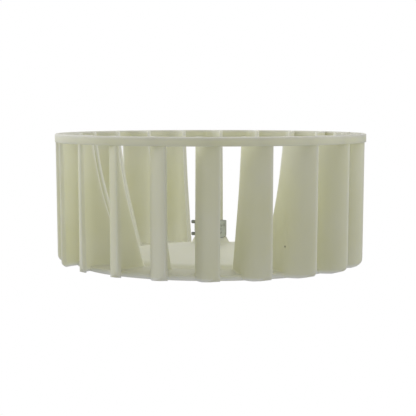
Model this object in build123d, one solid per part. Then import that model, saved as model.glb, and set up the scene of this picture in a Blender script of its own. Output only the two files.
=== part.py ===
from build123d import *
import os
from math import atan, degrees, radians, sin

# Blower wheel of a clothes dryer: one plastic moulding and the steel band that clamps its hub.
# Sizes are in millimetres. The wheel lies on its back plate with the mouth up, its axis is Z,
# and the underside of the plate is at z = 0. Angles run counter-clockwise seen from the mouth.

# Size of the wheel
wheel_radius = 98.5
wheel_height = 82.5

# Ring that ties the blade tips together round the mouth
ring_height = 5.3
ring_wall = 2.5
ring_chamfer = 0.8

# Back plate: a flat rim, a soft step up, and a shallow cone that rises to the hub
tip_overhang = 12.9
rim_width = 24.4
plate_wall = 3.1
step_run = 2.8
step_rise = 2.8
step_round = 2.0
cone_top_radius = 12.4
cone_top_height = 12.0
cone_round = 2.5

# Blades
blade_count = 20
first_blade_angle = -86.98
blade_bow_radius = 14.5
blade_bow_turn = 90.0
blade_tip_angle = 10.2
blade_wall_at_plate = 3.0
blade_wall_at_mouth = 2.3
root_clear_of_step = 0.9
blade_mouth_width = 15.6
blade_lean_height = 38.0
blade_lean_share = 0.555
tip_below_ring_face = 0.1
tip_draft = 0.7
tip_land = 0.2
blank_margin = 3.0
foot_above_base = 0.4
foot_round = 5.0

# Hub: a split collar for the motor shaft, which the band squeezes
shaft_bore_radius = 6.35
collar_wall = 3.05
collar_below_band = 1.3
collar_chamfer = 0.5
bore_lead_in = 0.8
band_seat_height = 16.1
seat_ledge = 0.8
boss_wall = 4.4
boss_end_height = 1.0
slot_count = 4
slot_width = 1.6
slot_below_seat = 1.2
first_slot_angle = 45.0

# Spring band clamp: a wide strap whose forked end and tongued end pass through each other
band_height = 11.5
band_height_at_tongue = 6.6
band_taper_angle = -44.0
band_thickness = 0.8
band_clearance = 0.05
fork_height = 9.8
tongue_height = 4.6
tongue_clearance = 0.5
fork_ear_angle = -175.0
fork_root_angle = -75.0
tongue_root_angle = 90.0
tongue_ear_angle = 240.0
ear_bend_radius = 1.2
ear_reach = 12.2
ear_corner_round = 0.6

# Sizes that follow from the ones above
plate_radius = wheel_radius - tip_overhang
step_radius = plate_radius - rim_width
blade_root_radius = step_radius + root_clear_of_step
blade_mouth_radius = wheel_radius - blade_mouth_width
blade_pitch = 360 / blade_count
tip_radius_at_mouth = wheel_radius - tip_below_ring_face
tip_radius_at_plate = tip_radius_at_mouth - tip_draft
collar_radius = shaft_bore_radius + collar_wall
collar_top_height = band_seat_height + band_height - collar_below_band
seat_radius = collar_radius + seat_ledge
boss_radius = shaft_bore_radius + boss_wall
band_radius = collar_radius + band_clearance + band_thickness / 2
band_outside = band_radius + band_thickness / 2
prong_height = (fork_height - tongue_height) / 2 - tongue_clearance


def in_section(radius, height):
    """Point of a section that is turned about the axis."""
    return Vector(radius, 0, height)


def around_axis(radius, start, end):
    """Arc about the axis between two angles in degrees."""
    return ThreePointArc(*[Vector(radius).rotate(Axis.Z, a) for a in (start, (start + end) / 2, end)])


def turned(outline):
    """Solid of revolution of a closed outline in the XZ plane."""
    return revolve(make_face(outline), Axis.Z)


def parallel(points, distance):
    """Polyline beside another one at an even distance, with mitred corners."""
    moved = []
    for i, here in enumerate(points):
        before = here - points[i - 1] if i else points[1] - here
        after = points[i + 1] - here if i + 1 < len(points) else before
        before, after = before.normalized(), after.normalized()
        middle = (before + after).normalized()
        aside = Vector(-middle.Z, 0, middle.X)
        moved.append(here + aside * (distance / middle.dot(before)))
    return moved


def back_plate_and_hub():
    """Plate, cone, boss and collar in one turned wall with a bore through its middle."""
    face = [
        in_section(plate_radius, plate_wall),
        in_section(step_radius, plate_wall),
        in_section(step_radius - step_run, plate_wall + step_rise),
        in_section(cone_top_radius, cone_top_height),
    ]
    under = parallel(face, plate_wall)
    under[0] = in_section(plate_radius, 0)
    slope = (under[3].Z - under[2].Z) / (under[3].X - under[2].X)
    under[3] = in_section(boss_radius, under[2].Z + slope * (boss_radius - under[2].X))
    hub = [
        in_section(seat_radius, band_seat_height),
        in_section(collar_radius, band_seat_height),
        in_section(collar_radius, collar_top_height - collar_chamfer),
        in_section(collar_radius - collar_chamfer, collar_top_height),
        in_section(shaft_bore_radius, collar_top_height),
        in_section(shaft_bore_radius, boss_end_height + bore_lead_in),
        in_section(shaft_bore_radius + bore_lead_in, boss_end_height),
        in_section(boss_radius, boss_end_height),
    ]
    rounds = [0, step_round, step_round, cone_round] + [0] * len(hub + under)
    return turned(FilletPolyline(face + hub + under[::-1], radius=rounds, close=True))


def mouth_ring():
    """Ring round the mouth, bevelled along its outer top edge."""
    inside = wheel_radius - ring_wall
    low = wheel_height - ring_height
    outline = Polyline(
        in_section(inside, low),
        in_section(wheel_radius, low),
        in_section(wheel_radius, wheel_height - ring_chamfer),
        in_section(wheel_radius - ring_chamfer, wheel_height),
        in_section(inside, wheel_height),
        close=True,
    )
    return turned(outline)


def blade_blank():
    """Wall of one blade before it is trimmed, with its tip on the X axis.

    The blade leaves the rim almost along it, bows round a quarter turn and runs straight to
    the axis. It thins evenly towards the mouth, and it leans out until its tip edge there
    stands out as far as the rim of the wheel. It is longer and taller than any blade.
    """
    tip_heading = 90 - blade_tip_angle
    end_heading = tip_heading - blade_bow_turn
    thinning = (blade_wall_at_plate - blade_wall_at_mouth) / wheel_height
    foot_wall = blade_wall_at_plate + thinning * blank_margin
    top_wall = blade_wall_at_mouth - thinning * blank_margin
    top = wheel_height + blank_margin
    section = make_face(
        Polyline(
            in_section(blade_bow_radius - foot_wall / 2, -blank_margin),
            in_section(blade_bow_radius + foot_wall / 2, -blank_margin),
            in_section(blade_bow_radius + top_wall / 2, top),
            in_section(blade_bow_radius - top_wall / 2, top),
            close=True,
        )
    )
    section = Rot(0, 0, end_heading - 90) * section
    inwards = -Vector(1).rotate(Axis.Z, end_heading)
    straight = extrude(section, wheel_radius - blade_root_radius, dir=inwards)
    bow = revolve(section, Axis.Z, revolution_arc=blade_bow_turn)
    half_wall_across = blade_wall_at_mouth / 2 * sin(radians(tip_heading))
    tip = Vector(tip_radius_at_mouth + tip_land - half_wall_across)
    bow_centre = tip + Vector(blade_bow_radius).rotate(Axis.Z, tip_heading + 90)
    lean_out = degrees(atan(tip_draft / wheel_height + thinning / 2))
    mouth = Pos(0, 0, wheel_height)
    return mouth * Rot(0, lean_out, 0) * mouth.inverse() * Pos(bow_centre) * (straight + bow)


def blade_envelope():
    """Space that all blades fill as they turn: it gives them their edges, foot and top."""
    root = in_section(blade_root_radius, plate_wall)
    mouth = in_section(blade_mouth_radius, wheel_height)
    lean_run = blade_lean_share * (blade_mouth_radius - blade_root_radius)
    lean_end = in_section(blade_root_radius + lean_run, blade_lean_height)
    middle_of_ring = wheel_radius - ring_wall / 2
    sides = FilletPolyline(
        root,
        in_section(blade_root_radius, foot_above_base),
        in_section(tip_radius_at_plate, foot_above_base),
        in_section(tip_radius_at_mouth, wheel_height - ring_height / 2),
        in_section(middle_of_ring, wheel_height - ring_height / 2),
        in_section(middle_of_ring, wheel_height),
        mouth,
        radius=[0, foot_round, 0, 0, 0],
    )
    inner_edge = Line(root, lean_end)
    inner_bend = TangentArc(lean_end, mouth, tangent=lean_end - root)
    return turned(Wire([*sides.edges(), *inner_edge.edges(), *inner_bend.edges()]))


def blade():
    """One blade, trimmed to the space that the blades turn in."""
    return blade_blank() & blade_envelope()


def hub_slots():
    """Axial slots that let the collar close on the shaft."""
    floor = band_seat_height - slot_below_seat
    slot = Box(
        2 * collar_radius,
        slot_width,
        collar_top_height - floor,
        align=(Align.MIN, Align.CENTER, Align.MIN),
    )
    turns = [first_slot_angle + i * 360 / slot_count for i in range(slot_count)]
    return [Rot(0, 0, turn) * Pos(0, 0, floor) * slot for turn in turns]


def blower_wheel():
    one_blade = blade()
    turns = [first_blade_angle + i * blade_pitch for i in range(blade_count)]
    blades = [Rot(0, 0, turn) * one_blade for turn in turns]
    wheel = back_plate_and_hub() - hub_slots()
    return wheel + [mouth_ring(), *blades]


def band_section(start, end):
    """Flat plan of a stretch of the band between two angles."""
    inner, outer = band_radius - band_thickness / 2, band_outside
    inside, outside = around_axis(inner, start, end), around_axis(outer, start, end)
    ends = [Line(inside @ 0, outside @ 0), Line(inside @ 1, outside @ 1)]
    return make_face(Wire([*inside.edges(), *outside.edges(), *ends[0].edges(), *ends[1].edges()]))


def strap_end(length_angle, height):
    """Narrow end of the band: it comes round to the X axis and turns outwards into an ear."""
    inner, outer = band_radius - band_thickness / 2, band_outside
    wide, tight = ear_bend_radius + band_thickness / 2, ear_bend_radius - band_thickness / 2

    def on_bend(radius, angle):
        return Vector(band_radius + ear_bend_radius) + Vector(radius).rotate(Axis.Z, angle)

    inside, outside = around_axis(inner, -length_angle, 0), around_axis(outer, -length_angle, 0)
    outline = [
        inside,
        ThreePointArc(*[on_bend(wide, angle) for angle in (180, 135, 90)]),
        Polyline(
            on_bend(wide, 90), Vector(ear_reach, wide), Vector(ear_reach, tight), on_bend(tight, 90)
        ),
        ThreePointArc(*[on_bend(tight, angle) for angle in (90, 135, 180)]),
        outside,
        Line(outside @ 0, inside @ 0),
    ]
    strap = extrude(make_face(Wire([edge for line in outline for edge in line.edges()])), height)
    corners = strap.edges().filter_by(Axis.Y).group_by(Axis.X)[-1]
    return fillet(corners, ear_corner_round)


def band_taper():
    """Space that narrows the strap evenly from its wide side to the root of the tongue."""
    start = band_outside * sin(radians(band_taper_angle))
    drop = (band_height - band_height_at_tongue) / 2
    outline = Polyline(
        (-band_outside, 0),
        (start, 0),
        (band_outside, drop),
        (band_outside, band_height - drop),
        (start, band_height),
        (-band_outside, band_height),
        close=True,
    )
    return extrude(Plane.YZ * make_face(outline), band_outside, both=True)


def hub_clamp():
    """The clamp: the fork leaves the strap clockwise, the tongue the other way.

    Fork and tongue lie over each other, so the band makes more than a full turn. The union is
    mended for that reason: its faces would otherwise point inwards.
    """
    strap = extrude(band_section(fork_root_angle, tongue_root_angle), band_height) & band_taper()
    prong = mirror(strap_end(fork_root_angle - fork_ear_angle, prong_height), Plane.XZ)
    prong = Rot(0, 0, fork_ear_angle) * prong
    tongue = strap_end(tongue_ear_angle - tongue_root_angle, tongue_height)
    clamp = strap + [
        Pos(0, 0, (band_height - fork_height) / 2) * prong,
        Pos(0, 0, (band_height + fork_height) / 2 - prong_height) * prong,
        Pos(0, 0, (band_height - tongue_height) / 2) * Rot(0, 0, tongue_ear_angle) * tongue,
    ]
    return (Pos(0, 0, band_seat_height) * clamp).fix()


os.makedirs("parts", exist_ok=True)
export_step(blower_wheel(), "parts/blower_wheel.step")
export_step(hub_clamp(), "parts/hub_clamp.step")
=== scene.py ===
# %% [markdown]
# A dryer blower wheel, dressed for its portrait.
# The wheel is one moulding of ivory plastic: a dished back plate with a hub, twenty bowed blades
# round it, and a ring that ties the blades together at the mouth. A spring band of grey steel
# clamps the hub on the motor shaft. The CAD model has the right sizes, but its edges are crisp,
# and a real moulding's are soft. So this lesson builds both pieces again as finer meshes with
# round corners, and then gives them their plastic and their steel.

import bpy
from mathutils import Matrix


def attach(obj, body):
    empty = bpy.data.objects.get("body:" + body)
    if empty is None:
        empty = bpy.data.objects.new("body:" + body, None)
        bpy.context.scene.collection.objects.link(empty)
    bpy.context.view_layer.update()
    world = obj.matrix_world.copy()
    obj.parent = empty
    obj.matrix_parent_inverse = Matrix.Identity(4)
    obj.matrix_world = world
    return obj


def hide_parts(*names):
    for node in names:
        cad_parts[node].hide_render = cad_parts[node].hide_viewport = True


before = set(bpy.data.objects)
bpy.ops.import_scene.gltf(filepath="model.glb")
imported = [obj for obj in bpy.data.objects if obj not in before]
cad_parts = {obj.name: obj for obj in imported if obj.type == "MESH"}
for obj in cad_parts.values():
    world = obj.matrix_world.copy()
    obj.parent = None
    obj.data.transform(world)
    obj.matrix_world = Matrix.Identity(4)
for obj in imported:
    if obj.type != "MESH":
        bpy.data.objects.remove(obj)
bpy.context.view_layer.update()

# %% [markdown]
# Blender works in metres, while a moulder thinks in millimetres. One named factor keeps every
# size below readable. The camera comes first, because everything after it is judged through it.
# A constraint could aim it, but a fixed place and tilt are easier to set against a photograph.
# It stands 0.75 m in front of the axis, a little above the wheel, and looks slightly down. That
# is close enough for the near blades to look clearly larger than the far ones.

# %% Place the camera
from math import acos, copysign, cos, hypot, pi, radians, sin, sqrt

import bmesh
import bpy
from mathutils import Matrix, Vector

MM = 0.001
CAMERA_PLACE = Vector((-1.6, -745.0, 99.4)) * MM
LOOK_DOWN = radians(4.98)
LENS = 100.9
SENSOR_WIDTH = 36
NEAREST_VIEW = 0.01
scene = bpy.context.scene
camera_data = bpy.data.cameras.new("portrait_camera")
camera = bpy.data.objects.new("portrait_camera", camera_data)
scene.collection.objects.link(camera)
camera.location = CAMERA_PLACE
camera.rotation_euler = (pi / 2 - LOOK_DOWN, 0, 0)
camera_data.sensor_width = SENSOR_WIDTH
camera_data.lens = LENS
camera_data.clip_start = NEAREST_VIEW
bpy.context.scene.camera = camera
print("camera at", tuple(round(v, 4) for v in camera.location), "m, lens", LENS, "mm")

# %% [markdown]
# The mouth ring is a flat hoop, 2.5 mm thick and 5.3 mm tall. A cylinder with a bevel would come
# close, but it has one bevel for all edges. A moulder draws a turned part as a profile, where each
# corner has a radius of its own, and so does this lesson. The helper swaps each corner for a short
# arc. The ring's outer top edge gets the largest one, because it catches the light from above.

# %% Draw the ring's profile
WHEEL_RADIUS = 98.5
WHEEL_HEIGHT = 82.5
RING_WALL = 2.5
RING_HEIGHT = 5.3
ARC_STEPS = 5


def rounded_profile(corners):
    """Points of a closed profile. Each corner is (radius from axis, height, corner radius)."""
    points = []
    for i, (x, z, round_size) in enumerate(corners):
        here = Vector((x, z))
        if round_size == 0:
            points.append(here)
            continue
        to_before = (Vector(corners[i - 1][:2]) - here).normalized()
        to_after = (Vector(corners[(i + 1) % len(corners)][:2]) - here).normalized()
        half_angle = acos(max(-1, min(1, to_before.dot(to_after)))) / 2
        reach = round_size * cos(half_angle) / sin(half_angle)
        centre = here + (to_before + to_after).normalized() * (round_size / sin(half_angle))
        start = here + to_before * reach - centre
        end = here + to_after * reach - centre
        for step in range(ARC_STEPS + 1):
            spoke = start.lerp(end, step / ARC_STEPS).normalized() * round_size
            points.append(centre + spoke)
    return points


ring_low = WHEEL_HEIGHT - RING_HEIGHT
ring_inside = WHEEL_RADIUS - RING_WALL
ring_profile = rounded_profile(
    [
        (ring_inside, ring_low, 0.5),
        (WHEEL_RADIUS, ring_low, 0.3),
        (WHEEL_RADIUS, WHEEL_HEIGHT, 0.9),
        (ring_inside, WHEEL_HEIGHT, 0.5),
    ]
)
print("ring profile:", len(ring_profile), "points")

# %% [markdown]
# The profile now swings about the wheel's axis. Blender has a Screw modifier for that, but a few
# lines of mesh code give the same rings of quads, with no seam to weld where they meet. The turn
# has 240 steps, which keeps the long edge round even close up and costs few faces.

# %% Turn the mouth ring
TURN_STEPS = 240


def mesh_object(name, points, faces):
    """New object from points in millimetres."""
    mesh = bpy.data.meshes.new(name)
    mesh.from_pydata([Vector(p) * MM for p in points], [], faces)
    mesh.update()
    made = bpy.data.objects.new(name, mesh)
    scene.collection.objects.link(made)
    return made


def turned_solid(name, profile):
    """Closed solid of revolution about the wheel's axis."""
    points = []
    for i in range(TURN_STEPS):
        angle = 2 * pi * i / TURN_STEPS
        points += [(p.x * cos(angle), p.x * sin(angle), p.y) for p in profile]
    faces = []
    count = len(profile)
    for i in range(TURN_STEPS):
        here, there = i * count, (i + 1) % TURN_STEPS * count
        for j in range(count):
            k = (j + 1) % count
            faces.append((here + j, there + j, there + k, here + k))
    return mesh_object(name, points, faces)


mouth_ring = turned_solid("mouth_ring", ring_profile)
print("mouth ring:", len(mouth_ring.data.polygons), "faces")

# %% [markdown]
# The back plate and the hub are one turned wall. From the rim inwards it is flat, steps up with a
# soft S, climbs as a shallow cone, and turns up into the boss, the clamp's seat and the collar.
# The underside follows the same line one wall lower, as a moulding's does, so that the plastic
# cools evenly. One profile draws both sides, so the wall is closed from the start.

# %% Turn the back plate with its hub
PLATE_RADIUS = 85.6
PLATE_WALL = 3.1
STEP_RADIUS = 61.2
STEP_RISE = 2.8
CONE_RADIUS = 12.4
CONE_TOP = 12.0
SEAT_RADIUS = 10.2
SEAT_HEIGHT = 16.1
COLLAR_RADIUS = 9.4
COLLAR_TOP = 26.3
BORE_RADIUS = 6.35
BORE_FOOT = 1.0
BORE_CHAMFER = 0.8
BOSS_RADIUS = 10.75
BOSS_CORNER = 9.1
UNDER_STEP_FOOT = 59.9
UNDER_STEP_RADIUS = 56.95
UNDER_STEP_HEIGHT = 2.97
upper_side = [
    (PLATE_RADIUS, PLATE_WALL, 0.9),
    (STEP_RADIUS, PLATE_WALL, 4.0),
    (STEP_RADIUS - STEP_RISE, PLATE_WALL + STEP_RISE, 5.0),
    (CONE_RADIUS, CONE_TOP, 2.5),
    (SEAT_RADIUS, SEAT_HEIGHT, 0.3),
    (COLLAR_RADIUS, SEAT_HEIGHT, 0.15),
    (COLLAR_RADIUS, COLLAR_TOP, 0.6),
    (BORE_RADIUS, COLLAR_TOP, 0.4),
]
under_side = [
    (BORE_RADIUS, BORE_FOOT + BORE_CHAMFER, 0),
    (BORE_RADIUS + BORE_CHAMFER, BORE_FOOT, 0),
    (BOSS_RADIUS, BORE_FOOT, 0.5),
    (BOSS_RADIUS, BOSS_CORNER, 1.0),
    (UNDER_STEP_RADIUS, UNDER_STEP_HEIGHT, 1.0),
    (UNDER_STEP_FOOT, 0.0, 0.5),
    (PLATE_RADIUS, 0.0, 0.5),
]
back_plate = turned_solid("back_plate", rounded_profile(upper_side + under_side))
print("back plate and hub:", len(back_plate.data.polygons), "faces")

# %% [markdown]
# Each blade leaves the rim almost along it, bows round a quarter turn and then runs straight to
# the axis. It could be drawn as a curve and thickened, but its middle line is only one arc and one
# straight, and a single length along it names any point. The helper returns that point and the
# direction across the wall. The blade thins and leans out a little on its way up, which is the
# draft that lets it leave the mould.

# %% Find the middle line of a blade
TIP_ANGLE = radians(10.2)
BOW_RADIUS = 14.5
BOW_TURN = radians(90)
BOW_LENGTH = BOW_RADIUS * BOW_TURN
TIP_INSET = 0.1
TIP_RADIUS = WHEEL_RADIUS - TIP_INSET
TIP_TRIM = 0.2
TIP_DRAFT = 0.7
WALL_AT_PLATE = 3.0
WALL_AT_MOUTH = 2.3
tip_heading = pi / 2 - TIP_ANGLE
lean_back = (TIP_DRAFT + (WALL_AT_PLATE - WALL_AT_MOUTH) / 2) / WHEEL_HEIGHT


def blade_wall(height):
    """Thickness of a blade at a height."""
    return WALL_AT_PLATE + (WALL_AT_MOUTH - WALL_AT_PLATE) * height / WHEEL_HEIGHT


def blade_line(length, height):
    """Point on the middle line, that far in from the tip, and the direction to the outer side."""
    tip_x = TIP_RADIUS + TIP_TRIM - WALL_AT_MOUTH / 2 * sin(tip_heading)
    tip_x -= lean_back * (WHEEL_HEIGHT - height)
    centre = Vector((tip_x - BOW_RADIUS * sin(tip_heading), BOW_RADIUS * cos(tip_heading)))
    heading = tip_heading - min(length, BOW_LENGTH) / BOW_RADIUS
    outwards = Vector((sin(heading), -cos(heading)))
    inwards = Vector((-cos(heading), -sin(heading)))
    point = centre + outwards * BOW_RADIUS + inwards * max(0, length - BOW_LENGTH)
    return point, outwards


bow_end, _ = blade_line(BOW_LENGTH, WHEEL_HEIGHT)
print("a blade bows for", round(BOW_LENGTH, 1), "mm, as far in as radius", round(bow_end.length, 1))

# %% [markdown]
# Every blade is trimmed to the room that it turns in. Outside, that is the tip radius, which falls
# away in a 5 mm round at the foot. Inside, it is a line that leans out from the plate and then
# bends up to the mouth in one smooth arc, so the blades are deepest where they carry most load.
# A cutting solid could trim them, but two small helpers that give both limits as a radius for
# each height let every section end exactly where it should.

# %% Set how far out and how far in a blade reaches
ROOT_RADIUS = 62.1
MOUTH_RADIUS = 82.9
LEAN_HEIGHT = 38.0
LEAN_SHARE = 0.555
FOOT_HEIGHT = 0.4
FOOT_ROUND = 5.0
lean_end = Vector((ROOT_RADIUS + LEAN_SHARE * (MOUTH_RADIUS - ROOT_RADIUS), LEAN_HEIGHT))
lean_way = (lean_end - Vector((ROOT_RADIUS, PLATE_WALL))).normalized()
bend_chord = Vector((MOUTH_RADIUS, WHEEL_HEIGHT)) - lean_end
bend_normal = Vector((-lean_way.y, lean_way.x))
bend_radius = bend_chord.length_squared / (2 * bend_chord.dot(bend_normal))
bend_centre = lean_end + bend_normal * bend_radius


def outer_limit(height):
    """Radius of the blade tips at a height."""
    limit = TIP_RADIUS - TIP_DRAFT * (WHEEL_HEIGHT - height) / WHEEL_HEIGHT
    below = FOOT_HEIGHT + FOOT_ROUND - height
    if below > 0:
        limit -= FOOT_ROUND - sqrt(FOOT_ROUND**2 - min(below, FOOT_ROUND) ** 2)
    return limit


def inner_limit(height):
    """Radius of the inner edge of the blades at a height."""
    if height <= PLATE_WALL:
        return ROOT_RADIUS
    if height <= LEAN_HEIGHT:
        return ROOT_RADIUS + lean_way.x / lean_way.y * (height - PLATE_WALL)
    rise = height - bend_centre.y
    side = 1 if bend_centre.x < lean_end.x else -1
    return bend_centre.x + side * sqrt(bend_radius**2 - rise**2)


print("bend of the inner edge: radius", round(bend_radius, 1), "mm, at the mouth",
      round(inner_limit(WHEEL_HEIGHT), 2), "mm from the axis")

# %% [markdown]
# The surface of a blade comes from its middle line and its wall. Near the plate the wall swells by
# the radius of a fillet, so the blade seems to grow out of the plate. A bevel could add the fillet
# after the pieces are joined, but a bevel often fails where many edges meet. A bisection finds
# where a side crosses a limit. That is slower than algebra, but it works for the arc and the
# straight alike.

# %% Find the sides of a blade
ROOT_FILLET = 1.3
RIM_INSET = 0.3
FILLET_FADE = 2
BISECTIONS = 40
LONGEST_BLADE = 60


def root_swell(radius, height):
    """Extra half thickness from the fillet between blade and plate, fading out at the rim."""
    above = max(0, height - PLATE_WALL)
    if above >= ROOT_FILLET or radius > PLATE_RADIUS - RIM_INSET:
        return 0
    fade = min(1, (PLATE_RADIUS - RIM_INSET - radius) / FILLET_FADE)
    return fade * (ROOT_FILLET - sqrt(ROOT_FILLET**2 - (ROOT_FILLET - above) ** 2))


def side_point(length, side, height):
    """Point on the outer (+1) or hollow (-1) side of a blade, or on its middle line (0)."""
    point, outwards = blade_line(length, height)
    half = blade_wall(height) / 2 + root_swell(point.length, height)
    return point + outwards * (side * half)


def bisect(near, far, before_limit):
    """Two values that close in on the place where a test turns from true to false."""
    for _ in range(BISECTIONS):
        middle = (near + far) / 2
        if before_limit(middle):
            near = middle
        else:
            far = middle
    return near, far


def length_where(radius, side, height):
    """How far in from the tip a side of the blade crosses a radius."""
    if side_point(0, side, height).length <= radius:
        return 0
    _, crossing = bisect(
        0, LONGEST_BLADE, lambda length: side_point(length, side, height).length > radius
    )
    return crossing


blade_depth = length_where(inner_limit(PLATE_WALL), 0, PLATE_WALL)
print("a blade is", round(blade_depth, 1), "mm long at the plate")

# %% [markdown]
# One blade is a stack of cross-sections with the same number of points, so quads can join them.
# Going round, a section is the outer side, the nose, the hollow side and the land, which is the
# narrow strip where the tip follows the wheel's own round. The nose on the inner edge is a blunt
# curve. A half circle would look sharper than the real edge, which is nearly flat between two
# small round corners.

# %% Draw the sections of one blade
SIDE_POINTS = 17
NOSE_POINTS = 9
NOSE_BLUNTNESS = 0.6
LAND_POINTS = 5
LEAST_LAND = 0.01
LAND_START = 0.5
FILLET_SHARES = (0.08, 0.25, 0.5, 0.75, 1)
RING_OVERLAP = 0.15


def blade_side(side, end, height):
    """Points of one side of a blade from its tip to the length where the nose begins."""
    start = length_where(outer_limit(height), side, height)
    lengths = [start + (end - start) * i / (SIDE_POINTS - 1) for i in range(SIDE_POINTS)]
    return [side_point(length, side, height) for length in lengths]


def blade_nose(end, height):
    """Blunt curve that rounds the inner edge, from the outer side to the hollow side."""
    centre, outwards = blade_line(end, height)
    inwards = Vector((outwards.y, -outwards.x))
    half = blade_wall(height) / 2 + root_swell(centre.length, height)
    points = []
    for i in range(1, NOSE_POINTS + 1):
        turn = pi * i / (NOSE_POINTS + 1)
        across = copysign(abs(cos(turn)) ** NOSE_BLUNTNESS, cos(turn))
        points.append(centre + (outwards * across + inwards * sin(turn) ** NOSE_BLUNTNESS) * half)
    return points


def blade_land(hollow, outer, height):
    """Points of the land, from the hollow side's tip to the outer side's."""
    limit = outer_limit(height)
    _, across = blade_line(0, height)
    near, _ = bisect(0, WALL_AT_PLATE, lambda width: (hollow + across * width).length < limit)
    corner = hollow + across * near
    first = 0 if near > LEAST_LAND else LAND_START
    shares = [max(i, first) / LAND_POINTS for i in range(LAND_POINTS)]
    return [corner.lerp(outer, share).normalized() * limit for share in shares]


def blade_section(height):
    """Closed outline of a blade at one height."""
    swell = root_swell(ROOT_RADIUS, height)
    end = length_where(inner_limit(height) - swell, 0, height)
    end -= blade_wall(height) / 2 + swell
    outer = blade_side(1, end, height)
    hollow = blade_side(-1, end, height)
    nose = blade_nose(end, height)
    return outer + nose + hollow[::-1] + blade_land(hollow[0], outer[0], height)


section_heights = [FOOT_HEIGHT, 1.1, 1.8, 2.5, PLATE_WALL]
section_heights += [PLATE_WALL + ROOT_FILLET * share for share in FILLET_SHARES]
section_heights += [6.5, 10, *range(15, 31, 5), *range(34, 79, 4)]
section_heights += [WHEEL_HEIGHT - RING_OVERLAP]
sections = [blade_section(height) for height in section_heights]
print("blade sections:", len(sections), "of", len(sections[0]), "points")

# %% [markdown]
# The stack becomes a closed mesh with a flat cap at each end. A short bevel then takes the
# sharpness off every edge, except at the top, where the ring covers it. Bevelling the single
# blade before it is copied is quicker and safer than bevelling the finished wheel.

# %% Close the stack and soften the blade's edges
EDGE_BEVEL = 0.45
BEVEL_SEGMENTS = 2
BEVEL_SHAPE = 0.6
CORNER_FROM = radians(35)
TOP_MARGIN = 1e-6


def blade_mesh():
    """One closed blade, its tip on the X axis."""
    count = len(sections[0])
    points = []
    for height, outline in zip(section_heights, sections):
        points += [(p.x, p.y, height) for p in outline]
    faces = []
    for level in range(len(sections) - 1):
        base = level * count
        for j in range(count):
            k = (j + 1) % count
            faces.append((base + j, base + count + j, base + count + k, base + k))
    top = (len(sections) - 1) * count
    faces.append(tuple(range(count)))
    faces.append(tuple(top + j for j in reversed(range(count))))
    return mesh_object("blade", points, faces)


one_blade = blade_mesh()
edit = bmesh.new()
edit.from_mesh(one_blade.data)
bmesh.ops.recalc_face_normals(edit, faces=edit.faces)
top_height = section_heights[-1] * MM
crisp_edges = [
    edge
    for edge in edit.edges
    if edge.calc_face_angle(0) > CORNER_FROM
    and min(v.co.z for v in edge.verts) < top_height - TOP_MARGIN
]
bmesh.ops.bevel(
    edit, geom=crisp_edges, offset=EDGE_BEVEL * MM, segments=BEVEL_SEGMENTS,
    profile=BEVEL_SHAPE, affect="EDGES", clamp_overlap=True,
)
edit.to_mesh(one_blade.data)
edit.free()
print("one blade:", len(one_blade.data.polygons), "faces,", len(crisp_edges), "edges softened")

# %% [markdown]
# Twenty blades stand 18 degrees apart. An Array modifier could copy them, but it needs a second
# object to turn about, and a loop needs only an angle. The loop gathers all the copies in one
# mesh. The first angle is the one read from the photograph, so each blade stands where it does
# there.

# %% Copy the blade round the wheel
BLADE_COUNT = 20
FIRST_BLADE = -86.98


def ring_of_blades(blade):
    """Fills the blade's mesh with all the blades."""
    gathered = bmesh.new()
    for i in range(BLADE_COUNT):
        turn = Matrix.Rotation(radians(FIRST_BLADE + i * 360 / BLADE_COUNT), 4, "Z")
        copied = blade.data.copy()
        copied.transform(turn)
        gathered.from_mesh(copied)
        bpy.data.meshes.remove(copied)
    gathered.to_mesh(blade.data)
    gathered.free()
    blade.name = "blades"
    return blade


blades = ring_of_blades(one_blade)
print("all blades:", len(blades.data.polygons), "faces")

# %% [markdown]
# Two slots cross in the collar and split it into four springy fingers, so that the clamp can close
# it on the shaft. They could be drawn as gaps in the turned mesh, but its points don't lie where
# the slots' sides do. A Boolean modifier cuts each slot with a box instead. Its manifold solver is
# quick and dependable for closed meshes like these.

# %% Cut the collar's slots
SLOT_WIDTH = 1.6
SLOT_ANGLES = (45, 135)
SLOT_SPARE = 1


def combine(base, tool, operation):
    """Applies one boolean to base and removes the tool."""
    step = base.modifiers.new("combine", "BOOLEAN")
    step.object = tool
    step.operation = operation
    step.solver = "MANIFOLD"
    bpy.context.view_layer.update()
    depsgraph = bpy.context.evaluated_depsgraph_get()
    result = bpy.data.meshes.new_from_object(base.evaluated_get(depsgraph))
    base.modifiers.clear()
    base.data = result
    bpy.data.objects.remove(tool)


def box_solid(name, low, high):
    """Box between two corners in millimetres."""
    xs, ys, zs = zip(low, high)
    points = [(x, y, z) for x in xs for y in ys for z in zs]
    faces = [(0, 1, 3, 2), (4, 6, 7, 5), (0, 4, 5, 1), (2, 3, 7, 6), (0, 2, 6, 4), (1, 5, 7, 3)]
    return mesh_object(name, points, faces)


for angle in SLOT_ANGLES:
    cutter = box_solid(
        "slot_cutter",
        (-2 * COLLAR_RADIUS, -SLOT_WIDTH / 2, SEAT_HEIGHT),
        (2 * COLLAR_RADIUS, SLOT_WIDTH / 2, COLLAR_TOP + SLOT_SPARE),
    )
    cutter.data.transform(Matrix.Rotation(radians(angle), 4, "Z"))
    combine(back_plate, cutter, "DIFFERENCE")
print("back plate and hub with slots:", len(back_plate.data.polygons), "faces")

# %% [markdown]
# Plate, blades and ring are one moulding, so they become one closed surface. They could stay
# three meshes that overlap, which looks the same from outside. A union leaves no hidden walls
# inside, though, and that matters for plastic that lets a little light through.

# %% Join the moulding
wheel = back_plate
wheel.name = "blower_wheel_moulding"
combine(wheel, blades, "UNION")
combine(wheel, mouth_ring, "UNION")
print("moulding:", len(wheel.data.polygons), "faces,", len(wheel.data.vertices), "points")

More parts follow.
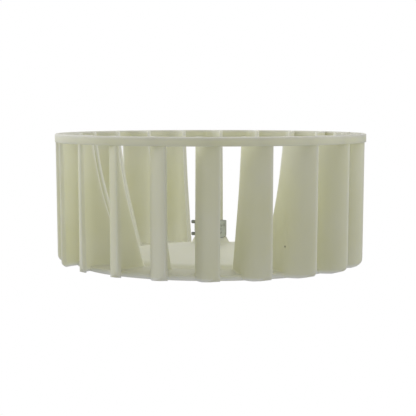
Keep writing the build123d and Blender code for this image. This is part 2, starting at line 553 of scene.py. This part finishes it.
# %% [markdown]
# Smooth shading hides the facets of a turned part, but it smears over a real corner. Edges that
# turn by more than 32 degrees are marked sharp, so light breaks there as it does on the moulding.
# An Edge Split modifier would look the same, but it would open the closed surface. A count of the
# edges that don't have two faces shows whether the surface is closed.

# %% Shade the moulding and test that it is closed
MOULDING_CORNER = 32


def shade_by_angle(piece, angle):
    """Smooth shading with sharp edges above an angle."""
    piece.data.shade_smooth()
    piece.data.set_sharp_from_angle(angle=radians(angle))


shade_by_angle(wheel, MOULDING_CORNER)
test = bmesh.new()
test.from_mesh(wheel.data)
open_edges = sum(1 for edge in test.edges if len(edge.link_faces) != 2)
triangles = sum(len(face.verts) - 2 for face in test.faces)
test.free()
print("moulding:", open_edges, "open edges,", triangles, "triangles")

# %% [markdown]
# The inner edges of the blades get a paler tone, which is a painted highlight. It could be painted
# by hand, but here the place is known. Each point of the moulding that lies close to the inner
# limit gets the number 1 for this highlight, and all others 0. The numbers are stored as an
# attribute of the mesh, and the plastic reads them later by their name.

# %% Mark the painted highlight on the inner edges
EDGE_LIGHT_DEPTH = 1.2


def edge_light_share(point):
    """Share of the painted highlight: 1 on the inner edge of a blade, 0 elsewhere."""
    height = point.z / MM
    if height < PLATE_WALL + ROOT_FILLET:
        return 0.0
    past_limit = hypot(point.x, point.y) / MM - inner_limit(height)
    return 1.0 if abs(past_limit) < EDGE_LIGHT_DEPTH else 0.0


# Points that get the painted highlight on the inner edges
painted_edge_light = [edge_light_share(vertex.co) for vertex in wheel.data.vertices]
edge_light_layer = wheel.data.attributes.new("painted_edge_light", "FLOAT", "POINT")
edge_light_layer.data.foreach_set("value", painted_edge_light)
print("worn points:", int(sum(painted_edge_light)), "of", len(painted_edge_light))

# %% [markdown]
# The spring clamp is one strip of steel, punched flat and then bent round. One end is a fork, the
# other a tongue that passes between its prongs, and both ends turn outwards as ears for pliers.
# It could be cut from a tube, but then the ears would have to be joined on. The strip is made the
# way the real one is: a flat grid with the waste left out. The stations along its length lie on a
# path round the collar, which this cell draws in plan.

# %% Draw the path of the clamp strip
BAND_RADIUS = 9.85
EAR_BEND = 1.2
EAR_REACH = 12.2
EAR_STATIONS = (0, 0.2, 0.6, 0.9)
EAR_BEND_STEPS = 6
EAR_GAP = 4
FORK_EAR = -175
FORK_ROOT = -75
FORK_ROOT_GAP = 0.3
TONGUE_ROOT = 90
TONGUE_EAR = 240
FORK_STEPS = 23
BAND_STEPS = 41
TONGUE_STEPS = 36


def ear_points(angle, side):
    """Plan points of an ear: from its tip inwards to where it meets the band at an angle."""
    turn = Matrix.Rotation(radians(angle), 2)
    points = [(EAR_REACH - from_tip, EAR_BEND * side) for from_tip in EAR_STATIONS]
    for step in range(EAR_BEND_STEPS + 1):
        bend = radians(90 * (1 + step / EAR_BEND_STEPS))
        x = BAND_RADIUS + EAR_BEND + EAR_BEND * cos(bend)
        points.append((x, EAR_BEND * sin(bend) * side))
    return [turn @ Vector(point) for point in points]


def arc_stations(part, start, end, steps):
    """Stations of a part on the collar, between two angles in degrees."""
    made = []
    for i in range(steps + 1):
        angle = radians(start + (end - start) * i / steps)
        made.append((Vector((cos(angle), sin(angle))) * BAND_RADIUS, part))
    return made


stations = [(point, "fork") for point in ear_points(FORK_EAR, -1)]
stations += arc_stations("fork", FORK_EAR + EAR_GAP, FORK_ROOT - FORK_ROOT_GAP, FORK_STEPS)
stations += arc_stations("band", FORK_ROOT, TONGUE_ROOT, BAND_STEPS)
stations += arc_stations(
    "tongue", TONGUE_ROOT + EAR_GAP, TONGUE_EAR - EAR_GAP, TONGUE_STEPS
)
stations += [(point, "tongue") for point in reversed(ear_points(TONGUE_EAR, 1))]
print("clamp strip:", len(stations), "stations")

# %% [markdown]
# Across its width the strip has fourteen grid lines. The strap, its plain part, is widest at the
# front and narrows towards the tongue. At both ends of the strip the lines draw together, which
# rounds the corners. Three separate grids would be simpler for the fork, the strap and the tongue,
# but then each would need stitching to the next, and one set of lines needs none.

# %% Set the heights of the strip's grid lines
BAND_THICKNESS = 0.8
BAND_HEIGHT = 11.5
BAND_HEIGHT_AT_TONGUE = 6.6
TAPER_ANGLE = radians(-44)
FORK_HALF = 4.9
FORK_INSIDE = 2.8
TONGUE_HALF = 2.3
CORNER_ROUND = 0.6
MOST_INSET = 0.5
CUT_EDGE_WIDTH = 0.45
band_middle = SEAT_HEIGHT + BAND_HEIGHT / 2


def outer_half(plan, part):
    """Half of the strip's width at a station."""
    if part != "band":
        return FORK_HALF
    outside = BAND_RADIUS + BAND_THICKNESS / 2
    start = outside * sin(TAPER_ANGLE)
    share = max(0, (plan.y - start) / (outside - start))
    return (BAND_HEIGHT + (BAND_HEIGHT_AT_TONGUE - BAND_HEIGHT) * share) / 2


def strip_heights(plan, part, from_end):
    """Heights of the grid lines at a station, drawn together near an end of the strip."""
    short = max(0, CORNER_ROUND - from_end)
    inset = min(MOST_INSET, CORNER_ROUND - sqrt(CORNER_ROUND**2 - short**2))
    half = outer_half(plan, part)
    cut_edge = min(CUT_EDGE_WIDTH, (half - FORK_INSIDE) / 2)
    tongue_face = TONGUE_HALF - CUT_EDGE_WIDTH
    upper = [tongue_face / 3, tongue_face, TONGUE_HALF, FORK_INSIDE]
    upper += [FORK_INSIDE + (half - FORK_INSIDE - cut_edge) * 0.5, half - cut_edge, half]
    if part == "fork":
        # Line 3 is the inside of a prong, lines 5 and 6 are its outside
        upper[3] += inset
        upper[5] -= inset
        upper[6] -= inset
    if part == "tongue":
        # Lines 1 and 2 are the outside of the tongue
        upper[1] -= inset
        upper[2] -= inset
    return [band_middle - height for height in reversed(upper)] + [band_middle + h for h in upper]


strap_lines = strip_heights(Vector((0, -BAND_RADIUS)), "band", CORNER_ROUND)
strap_width = strap_lines[-1] - strap_lines[0]
print("strap:", len(strap_lines), "lines,", round(strap_width, 1), "mm wide at the front")

# %% [markdown]
# Each part of the strip keeps only its own cells of the grid: the fork the outer ones, the tongue
# the middle ones, the strap all of them. The strip could be cut out by booleans, but leaving cells
# out gives clean quads. Every point also carries a number for a dark tone, the film of the heat
# treatment together with painted shade: 1 at a cut edge, less on the narrow prongs and none on
# the face of the strap.

# %% Punch the strip
PRONG_OXIDE_AND_SHADE = 0.6
CELLS = {"fork": [0, 1, 2, 10, 11, 12], "band": list(range(13)), "tongue": [4, 5, 6, 7, 8]}
EDGE_LINES = {"fork": [0, 3, 10, 13], "band": [0, 13], "tongue": [4, 9]}


def clamp_strip():
    """Sheet of the clamp, bent but without thickness."""
    points, faces, edge_oxide_and_shade = [], [], []
    last = len(stations) - 1
    for i, (plan, part) in enumerate(stations):
        tip = stations[0][0] if i < last / 2 else stations[last][0]
        on_ear = min(i, last - i) < len(EAR_STATIONS)
        from_end = (plan - tip).length if on_ear else CORNER_ROUND
        for line, height in enumerate(strip_heights(plan, part, from_end)):
            points.append((plan.x, plan.y, height))
            at_edge = line in EDGE_LINES[part] or i in (0, last)
            # Dark tone at the cut edges and on the fork: heat-treatment film together with painted
            # shade
            edge_oxide_and_shade.append(1.0 if at_edge else PRONG_OXIDE_AND_SHADE if part == "fork" else 0.0)
    count = len(strap_lines)
    for i in range(last):
        parts = stations[i][1], stations[i + 1][1]
        for cell in CELLS[parts[0]]:
            if cell in CELLS[parts[1]]:
                here, there = i * count + cell, (i + 1) * count + cell
                faces.append((here, there, there + 1, here + 1))
    sheet = mesh_object("hub_clamp_band", points, faces)
    layer = sheet.data.attributes.new("edge_oxide_and_shade", "FLOAT", "POINT")
    layer.data.foreach_set("value", edge_oxide_and_shade)
    return sheet


clamp = clamp_strip()
print("clamp sheet:", len(clamp.data.polygons), "cells")

# %% [markdown]
# The points of the waste go, and Solidify gives the sheet its thickness, half on each side of the
# path. A narrow bevel stands for the edge that tumbling leaves on punched spring steel. Modifiers
# suit both jobs, because a thickness can then be changed in one place.

# %% Thicken the clamp
TUMBLED_EDGE = 0.14
TUMBLED_SEGMENTS = 2
TUMBLED_FROM = radians(50)
CLAMP_CORNER = 40
edit = bmesh.new()
edit.from_mesh(clamp.data)
waste = [v for v in edit.verts if not v.link_faces]
bmesh.ops.delete(edit, geom=waste, context="VERTS")
bmesh.ops.recalc_face_normals(edit, faces=edit.faces)
edit.to_mesh(clamp.data)
edit.free()
thicken = clamp.modifiers.new("thickness", "SOLIDIFY")
thicken.thickness = BAND_THICKNESS * MM
thicken.offset = 0
thicken.use_even_offset = True
tumble = clamp.modifiers.new("tumbled_edge", "BEVEL")
tumble.width = TUMBLED_EDGE * MM
tumble.segments = TUMBLED_SEGMENTS
tumble.limit_method = "ANGLE"
tumble.angle_limit = TUMBLED_FROM
bpy.context.view_layer.update()
depsgraph = bpy.context.evaluated_depsgraph_get()
clamp.data = bpy.data.meshes.new_from_object(clamp.evaluated_get(depsgraph))
clamp.modifiers.clear()
shade_by_angle(clamp, CLAMP_CORNER)
print("clamp:", len(clamp.data.polygons), "faces, size in mm",
      tuple(round(side / MM, 2) for side in clamp.dimensions))

# %% [markdown]
# The plastic is a plain ivory that years of warm, linty air have toned down. One flat colour would
# look like paint, so two close tones meet in slow patches. A material is a tree of nodes, and four
# small helpers grow it: one starts the tree, one adds noise, one moves a value from one range to
# another, and one blends two tones.

# %% Start the ivory plastic
def new_material(name):
    """Material with an emptied node tree, and its Principled shader."""
    made = bpy.data.materials.new(name)
    made.use_nodes = True
    tree = made.node_tree
    tree.nodes.clear()
    shader = tree.nodes.new("ShaderNodeBsdfPrincipled")
    output = tree.nodes.new("ShaderNodeOutputMaterial")
    tree.links.new(shader.outputs["BSDF"], output.inputs["Surface"])
    return made, tree, shader


def noise(tree, scale, detail, source):
    """Noise of a scale per metre, from object coordinates."""
    made = tree.nodes.new("ShaderNodeTexNoise")
    made.inputs["Scale"].default_value = scale
    made.inputs["Detail"].default_value = detail
    tree.links.new(source, made.inputs["Vector"])
    return made.outputs["Fac"]


def remap(tree, value, start, end):
    """Moves a value from one range to another and clamps it. A range is a pair of numbers."""
    made = tree.nodes.new("ShaderNodeMapRange")
    made.inputs["From Min"].default_value = start[0]
    made.inputs["From Max"].default_value = start[1]
    made.inputs["To Min"].default_value = end[0]
    made.inputs["To Max"].default_value = end[1]
    tree.links.new(value, made.inputs["Value"])
    return made.outputs["Result"]


def blend_tones(tree, share, under, over):
    """Mixes two colours, each a tuple or another node's colour."""
    made = tree.nodes.new("ShaderNodeMix")
    made.data_type = "RGBA"
    tree.links.new(share, made.inputs["Factor"])
    for socket, tone in ((made.inputs[6], under), (made.inputs[7], over)):
        if isinstance(tone, tuple):
            socket.default_value = (*tone, 1)
        else:
            tree.links.new(tone, socket)
    return made.outputs[2]


IVORY = (0.800, 0.800, 0.662)
IVORY_DEEP = (0.772, 0.774, 0.598)
PATCH_SCALE = 22
PATCH_DETAIL = 3
PATCH_SPAN = (0.35, 0.65)
NONE_TO_ALL = (0, 1)
plastic, tree, shader = new_material("ivory_plastic")
place = tree.nodes.new("ShaderNodeTexCoord").outputs["Object"]
patches = remap(tree, noise(tree, PATCH_SCALE, PATCH_DETAIL, place), PATCH_SPAN, NONE_TO_ALL)
tone = blend_tones(tree, patches, IVORY, IVORY_DEEP)
print("material:", plastic.name, "with", len(tree.nodes), "nodes so far")

# %% [markdown]
# Dust settles on what faces up, and the upward part of the surface's direction says how much. The
# top of the ring gets a darker tone of its own, which is painted shade. Its place is known by its
# height, so no mask has to be painted.

# %% Add the dust and the painted shade on the ring's top
DUST = (0.800, 0.797, 0.700)
RING_TOP_PAINTED_SHADE = (0.680, 0.672, 0.590)
DUST_FACING = (0.3, 1.0)
DUST_SHARE = (0, 0.5)
RING_TOP_SHADE_HEIGHTS = (80 * MM, 82 * MM)


def split_axes(tree, vector):
    """The X, Y and Z of a vector, as outputs of a node."""
    made = tree.nodes.new("ShaderNodeSeparateXYZ")
    tree.links.new(vector, made.inputs["Vector"])
    return made.outputs


facing_up = split_axes(tree, tree.nodes.new("ShaderNodeNewGeometry").outputs["Normal"])["Z"]
dust_and_shade_share = remap(tree, facing_up, DUST_FACING, DUST_SHARE)
tone = blend_tones(tree, dust_and_shade_share, tone, DUST)
height_above_floor = split_axes(tree, place)["Z"]
# Painted shade: the top of the ring is made a darker tone
on_ring = remap(tree, height_above_floor, RING_TOP_SHADE_HEIGHTS, NONE_TO_ALL)
tone = blend_tones(tree, on_ring, tone, RING_TOP_PAINTED_SHADE)
print("dust and painted_shade_top ring:", len(tree.nodes), "nodes so far")

# %% [markdown]
# In the photograph the lowest few millimetres glow, because a white table throws light up at them.
# A real white floor would light the whole wheel too much, so the paler foot is part of the colour.
# Between the blades the flat rim of the plate gets a darker grey tone, which is painted shade. Its
# place is a height and a distance from the axis, and shares that are multiplied mean "and".

# %% Add the painted light on the foot and the painted shade on the rim
FLOOR_LIT = (0.930, 0.950, 0.870)
RIM_PAINTED_SHADE = (0.560, 0.555, 0.450)
FOOT_HEIGHTS = (2.8 * MM, 0.6 * MM)
NOT_UNDERSIDE_FACING = (-0.6, -0.2)
RIM_HEIGHTS = (4.0 * MM, 3.3 * MM)
RIM_FROM_AXIS = (59 * MM, 64 * MM)


def multiply(tree, first, second):
    """Product of two values."""
    made = tree.nodes.new("ShaderNodeMath")
    made.operation = "MULTIPLY"
    tree.links.new(first, made.inputs[0])
    tree.links.new(second, made.inputs[1])
    return made.outputs["Value"]


def vector_step(tree, operation, first, second):
    """Vector Math node between a node's output and a fixed vector."""
    made = tree.nodes.new("ShaderNodeVectorMath")
    made.operation = operation
    made.inputs[1].default_value = second
    tree.links.new(first, made.inputs[0])
    return made.outputs


near_floor = remap(tree, height_above_floor, FOOT_HEIGHTS, NONE_TO_ALL)
not_underside = remap(tree, facing_up, NOT_UNDERSIDE_FACING, NONE_TO_ALL)
tone = blend_tones(tree, multiply(tree, near_floor, not_underside), tone, FLOOR_LIT)
in_plan = vector_step(tree, "MULTIPLY", place, (1, 1, 0))["Vector"]
from_axis = vector_step(tree, "DISTANCE", in_plan, (0, 0, 0))["Value"]
between_blades = remap(tree, from_axis, RIM_FROM_AXIS, NONE_TO_ALL)
on_rim = remap(tree, height_above_floor, RIM_HEIGHTS, NONE_TO_ALL)
# Painted shade: the flat rim between the blades is made a darker grey
rim_shade_share = multiply(tree, multiply(tree, between_blades, on_rim), dust_and_shade_share)
tone = blend_tones(tree, rim_shade_share, tone, RIM_PAINTED_SHADE)
print("pale foot and rim_shade:", len(tree.nodes), "nodes so far")

# %% [markdown]
# The painted highlight on the inner edges reads the numbers that the moulding's points carry. One
# dark speck sits on a blade at the right. Its place is known in the photograph as a pixel, and
# guessing its place on the blade would take many tries. A ray from the camera through that pixel
# finds it at once.

# %% Add the painted edge highlight and the speck
EDGE_PAINTED_LIGHT = (0.845, 0.842, 0.720)
SPECK = (0.160, 0.160, 0.110)
IMAGE_SIDE = 416
SPECK_PIXEL = (285.0, 246.6)
SPECK_RADII = (0.3 * MM, 0.8 * MM)
SPECK_SHARE = (0.7, 0)
focal = camera_data.lens / camera_data.sensor_width * IMAGE_SIDE
speck_ray = Vector((SPECK_PIXEL[0] - IMAGE_SIDE / 2, IMAGE_SIDE / 2 - SPECK_PIXEL[1], -focal))
speck_ray.rotate(camera.rotation_euler)
found, speck_place, _, _ = wheel.ray_cast(camera.location, speck_ray.normalized())
edge_light_mark = tree.nodes.new("ShaderNodeAttribute")
edge_light_mark.attribute_name = "painted_edge_light"
# Painted highlight: the inner edges of the blades are made paler
tone = blend_tones(tree, edge_light_mark.outputs["Fac"], tone, EDGE_PAINTED_LIGHT)
from_speck = vector_step(tree, "DISTANCE", place, speck_place)["Value"]
tone = blend_tones(tree, remap(tree, from_speck, SPECK_RADII, SPECK_SHARE), tone, SPECK)
tree.links.new(tone, shader.inputs["Base Color"])
print("speck found:", found, "at", tuple(round(v / MM, 1) for v in speck_place), "mm")

# %% [markdown]
# Colour alone still looks like card. A little light goes into real plastic and comes out nearby,
# which subsurface scattering does. The gloss changes slowly over the surface, and a fine grain
# stands for the texture of a spark-eroded mould. The grain is far too small for geometry, so a
# bump node fakes it.

# %% Give the plastic its depth, gloss and grain
PLASTIC_IOR = 1.49
LIGHT_DEPTH = 6 * MM
LIGHT_DEPTH_BY_COLOUR = (1.0, 0.97, 0.85)
LIGHT_DEPTH_SHARE = 0.8
GLOSS_SCALE = 60
GLOSS_DETAIL = 4
GLOSS_SPAN = (0.3, 0.7)
PLASTIC_ROUGHNESS = (0.40, 0.55)
GRAIN_SCALE = 1800
GRAIN_DETAIL = 4
GRAIN_STRENGTH = 0.25
GRAIN_DEPTH = 0.06 * MM


def add_bump(tree, shader, height, strength, depth):
    """Bump node that tilts the shader's surface by a height value."""
    made = tree.nodes.new("ShaderNodeBump")
    made.inputs["Strength"].default_value = strength
    made.inputs["Distance"].default_value = depth
    tree.links.new(height, made.inputs["Height"])
    tree.links.new(made.outputs["Normal"], shader.inputs["Normal"])


gloss = remap(tree, noise(tree, GLOSS_SCALE, GLOSS_DETAIL, place), GLOSS_SPAN, PLASTIC_ROUGHNESS)
tree.links.new(gloss, shader.inputs["Roughness"])
shader.inputs["Subsurface Weight"].default_value = LIGHT_DEPTH_SHARE
shader.inputs["Subsurface Radius"].default_value = LIGHT_DEPTH_BY_COLOUR
shader.inputs["Subsurface Scale"].default_value = LIGHT_DEPTH
shader.inputs["IOR"].default_value = PLASTIC_IOR
grain = noise(tree, GRAIN_SCALE, GRAIN_DETAIL, place)
add_bump(tree, shader, grain, GRAIN_STRENGTH, GRAIN_DEPTH)
wheel.data.materials.clear()
wheel.data.materials.append(plastic)
print("material:", plastic.name, "with", len(tree.nodes), "nodes")

# %% [markdown]
# The clamp is oiled spring steel, a dull grey with a greenish cast. Metal shows its surroundings
# more than a colour, so the streaks that the rolling mill leaves go into the roughness and a
# shallow bump. They come from noise that is stretched along the strip and squeezed across it.
# Darker spots and the dark tone of the cut edges and prongs, heat-treatment film together with
# painted shade, which the strip's points carry as numbers, go into the colour.

# %% Make the spring steel
STEEL = (0.60, 0.635, 0.58)
STEEL_DARK = (0.40, 0.42, 0.39)
STEEL_OXIDE_AND_SHADE = (0.12, 0.12, 0.11)
STEEL_METALLIC = 0.9
STREAK_STRETCH = (0.15, 0.15, 4.0)
STREAK_SCALE = 700
STREAK_DETAIL = 5
STREAK_SPAN = (0.3, 0.7)
STEEL_ROUGHNESS = (0.32, 0.52)
STREAK_STRENGTH = 0.3
STREAK_DEPTH = 0.03 * MM
SPOT_SCALE = 450
SPOT_DETAIL = 4
SPOT_SPAN = (0.52, 0.70)
OXIDE_AND_SHADE_SPAN = (0.2, 0.9)
OXIDE_AND_SHADE_SHARE = (0, 0.8)
steel, tree, shader = new_material("spring_steel")
place = tree.nodes.new("ShaderNodeTexCoord").outputs["Object"]
along = tree.nodes.new("ShaderNodeMapping")
along.inputs["Scale"].default_value = STREAK_STRETCH
tree.links.new(place, along.inputs["Vector"])
streaks = noise(tree, STREAK_SCALE, STREAK_DETAIL, along.outputs["Vector"])
spots = remap(tree, noise(tree, SPOT_SCALE, SPOT_DETAIL, place), SPOT_SPAN, NONE_TO_ALL)
tone = blend_tones(tree, spots, STEEL, STEEL_DARK)
oxide_and_shade_mark = tree.nodes.new("ShaderNodeAttribute")
oxide_and_shade_mark.attribute_name = "edge_oxide_and_shade"
# Dark tone on the cut edges and prongs: heat-treatment film together with painted shade
oxide_and_shade_share = remap(tree, oxide_and_shade_mark.outputs["Fac"], OXIDE_AND_SHADE_SPAN, OXIDE_AND_SHADE_SHARE)
tone = blend_tones(tree, oxide_and_shade_share, tone, STEEL_OXIDE_AND_SHADE)
tree.links.new(tone, shader.inputs["Base Color"])
tree.links.new(remap(tree, streaks, STREAK_SPAN, STEEL_ROUGHNESS), shader.inputs["Roughness"])
shader.inputs["Metallic"].default_value = STEEL_METALLIC
add_bump(tree, shader, streaks, STREAK_STRENGTH, STREAK_DEPTH)
clamp.data.materials.clear()
clamp.data.materials.append(steel)
print("material:", steel.name, "with", len(tree.nodes), "nodes")

# %% [markdown]
# Each piece rides on the wheel's one body and stands in for its CAD node, which is hidden. A helper
# sets the parent, so that every pose finds the right mesh. The fine meshes keep to the CAD model's
# box.

# %% Put the pieces on the frame
for piece, node, slot in (
    (wheel, "blower_wheel", "wheel_plastic"),
    (clamp, "hub_clamp", "clamp_steel"),
):
    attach(piece, "root")
    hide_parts(node)
    print(piece.name, "stands for", node)

# %% [markdown]
# The photograph has the even light of a catalogue picture: pure white behind and below, and no
# shadow on the floor. A lit white room could give that, but its light would flood the wheel. So
# the floor and the four walls are white surfaces that only the camera sees, and the wheel has the
# same white behind it from every side.

# %% Set up the white floor and walls
STAGE_REACH = 4000
FLOOR_DROP = -0.5
WALLS = (("wall_back", 0), ("wall_left", 90), ("wall_front", 180), ("wall_right", 270))


def white_sheet(name, corners):
    """White surface that shines evenly and lights nothing."""
    sheet = mesh_object(name, corners, [(0, 1, 2, 3)])
    paper = bpy.data.materials.new(name + "_white")
    paper.use_nodes = True
    nodes = paper.node_tree.nodes
    nodes.clear()
    glow = nodes.new("ShaderNodeEmission")
    glow.inputs["Color"].default_value = (1, 1, 1, 1)
    glow.inputs["Strength"].default_value = 1.0
    output = nodes.new("ShaderNodeOutputMaterial")
    paper.node_tree.links.new(glow.outputs["Emission"], output.inputs["Surface"])
    sheet.data.materials.append(paper)
    sheet.visible_diffuse = False
    sheet.visible_glossy = False
    sheet.visible_transmission = False
    sheet.visible_volume_scatter = False
    sheet.visible_shadow = False
    return sheet


floor_corners = [
    (-STAGE_REACH, -STAGE_REACH, FLOOR_DROP),
    (STAGE_REACH, -STAGE_REACH, FLOOR_DROP),
    (STAGE_REACH, STAGE_REACH, FLOOR_DROP),
    (-STAGE_REACH, STAGE_REACH, FLOOR_DROP),
]
wall_corners = [
    (-STAGE_REACH, STAGE_REACH, FLOOR_DROP),
    (STAGE_REACH, STAGE_REACH, FLOOR_DROP),
    (STAGE_REACH, STAGE_REACH, STAGE_REACH),
    (-STAGE_REACH, STAGE_REACH, STAGE_REACH),
]
stage = [white_sheet("floor", floor_corners)]
for name, angle in WALLS:
    turn = Matrix.Rotation(radians(angle), 3, "Z")
    stage.append(white_sheet(name, [turn @ Vector(corner) for corner in wall_corners]))
print("stage:", ", ".join(sheet.name for sheet in stage))

# %% [markdown]
# The wheel is lit from all sides, a little more from above and from the flanks. A dim sky gives
# the even part. Lamps are area lights, because their size makes the shadows soft, and each is
# named for where it hangs. The last one lies under the floor, which lamps shine through, and gives
# the foot of the near blades the light that a white table would throw back.

# %% Hang the sky and the lamps
SKY_STRENGTH = 0.375
LAMPS = (
    # Name, place in metres, width in metres, power in watts
    ("lamp_above", (0, -0.2, 1.6), 1.6, 5.4),
    ("lamp_above_back", (0, 0.9, 1.35), 1.2, 2.2),
    ("lamp_left", (-1.5, 0.2, 0.6), 1.0, 7.2),
    ("lamp_left_back", (-1.2, 1.2, 0.5), 1.0, 4.0),
    ("lamp_right", (1.5, 0.2, 0.6), 1.0, 5.6),
    ("lamp_back", (0, 1.8, 0.5), 1.6, 3.5),
    ("floor_glow", (0, -0.19, -0.06), 0.15, 0.011),
)
scene.view_settings.view_transform = "Standard"
sky = bpy.data.worlds.new("studio_sky")
sky.use_nodes = True
sky.node_tree.nodes["Background"].inputs["Color"].default_value = (1, 1, 1, 1)
sky.node_tree.nodes["Background"].inputs["Strength"].default_value = SKY_STRENGTH
scene.world = sky
wheel_middle = Vector((0, 0, WHEEL_HEIGHT / 2)) * MM


def soft_lamp(name, place, size, watts):
    """Square area light aimed at the wheel."""
    data = bpy.data.lights.new(name, "AREA")
    data.shape = "SQUARE"
    data.size = size
    data.energy = watts
    lamp = bpy.data.objects.new(name, data)
    scene.collection.objects.link(lamp)
    lamp.location = place
    lamp.rotation_euler = (wheel_middle - Vector(place)).to_track_quat("-Z", "Y").to_euler()


for name, lamp_place, size, watts in LAMPS:
    soft_lamp(name, lamp_place, size, watts)
